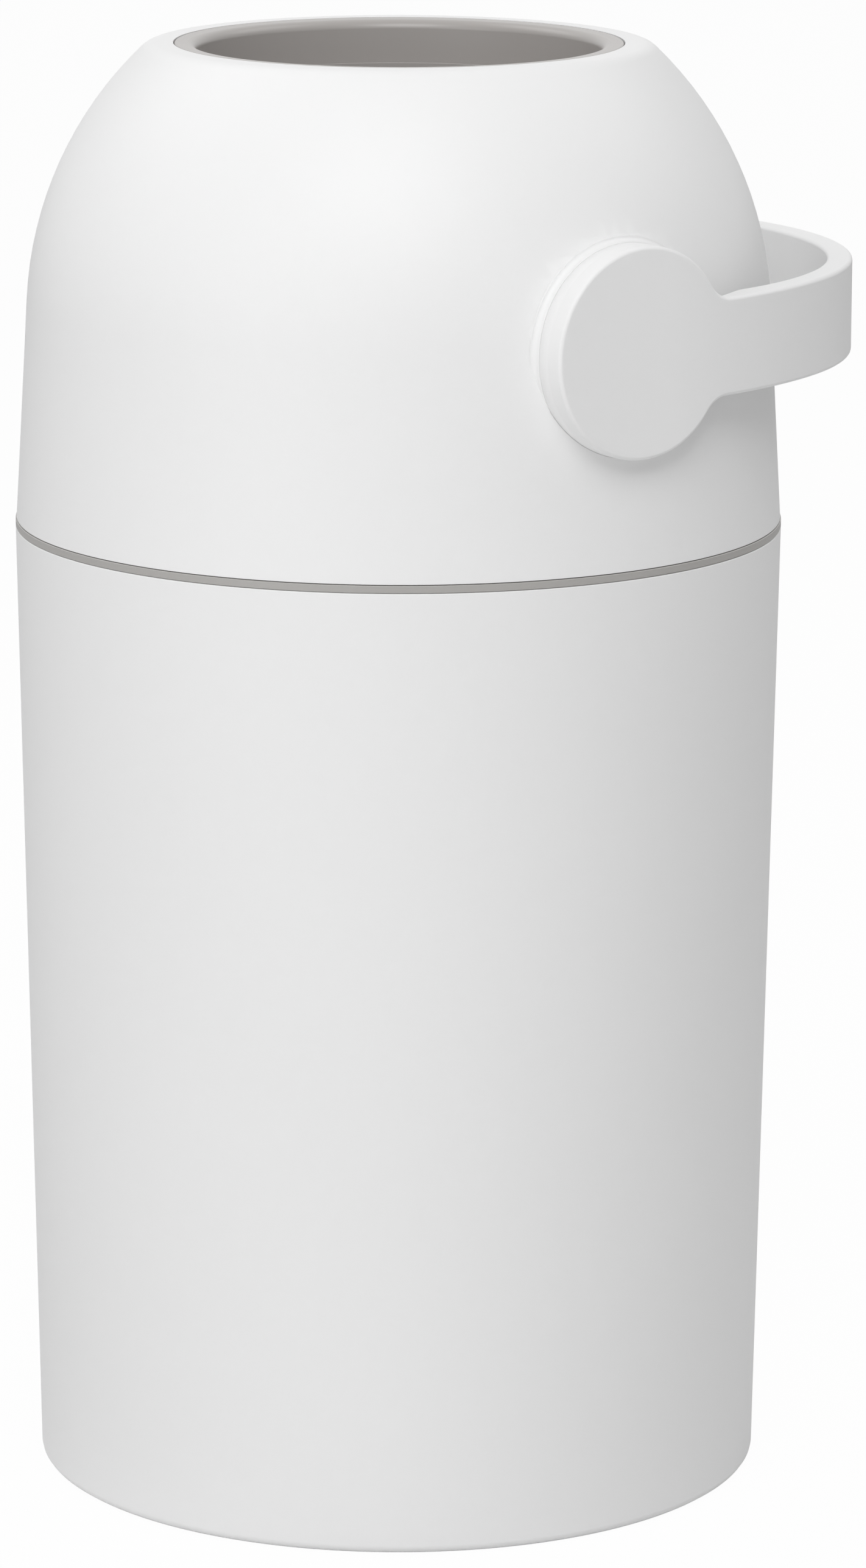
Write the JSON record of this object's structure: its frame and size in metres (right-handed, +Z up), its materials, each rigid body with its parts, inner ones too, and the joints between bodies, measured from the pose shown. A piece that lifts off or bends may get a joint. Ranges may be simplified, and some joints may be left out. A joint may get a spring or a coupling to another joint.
{
  "type": "nappy bin",
  "caption": "Tall round nappy bin whose bail flips over a domed head, turning a drum with a sliding piston that drops the nappy into the bin and closes the outlet.",
  "frame": {"origin": "on the bin's axis at floor level, in the middle of the flat underside", "axes": "+Z up, the pivot discs face -Y and +Y, the bail rests towards +X"},
  "size_m": [0.2902, 0.2678, 0.4906],
  "materials": {
    "shell_white": "fine satin moulding",
    "collar_grey": "satin",
    "band_grey": "satin",
    "inner_grey": "matt",
    "bush_plastic": "smooth",
    "seal_rubber": "matt",
    "screw_steel": "zinc plated",
    "weight_steel": "plain"
  },
  "bodies": {
    "bin": {"bin_body": "shell_white"},
    "bag_ring": {"bag_ring": "band_grey", "ring_seal": "seal_rubber"},
    "head": {"dome_shell": "shell_white", "inlet_collar": "collar_grey", "collar_seal": "seal_rubber", "seat_frame": "inner_grey", "seat_seal": "seal_rubber", "frame_screws": "screw_steel", "front_bush": "bush_plastic", "rear_bush": "bush_plastic", "bush_screws": "screw_steel"},
    "drum": {"drum_sleeve": "collar_grey", "stop_ring": "collar_grey", "drum_shell_front": "inner_grey", "drum_shell_rear": "inner_grey", "shell_screws": "screw_steel", "handle": "shell_white", "hub_screws": "screw_steel", "hub_plugs": "collar_grey"},
    "piston": {"piston_lower": "inner_grey", "piston_upper": "inner_grey", "piston_seal": "seal_rubber", "piston_weight": "weight_steel", "piston_screws": "screw_steel"}
  },
  "joints": [
    {"name": "bag_ring_lift", "type": "slide", "parent": "bin", "child": "bag_ring", "axis": [0, 0, 1], "range_m": [0, 0.05]},
    {"name": "head_lift", "type": "slide", "parent": "bag_ring", "child": "head", "axis": [0, 0, 1], "range_m": [0, 0.16]},
    {"name": "handle_flip", "type": "hinge", "parent": "head", "child": "drum", "pos_m": [0, 0, 0.402], "axis": [0, -1, 0], "range_deg": [0, 180]},
    {"name": "piston_slide", "type": "slide", "parent": "drum", "child": "piston", "axis": [0, 0, 1], "range_m": [0, 0.106]}
  ]
}
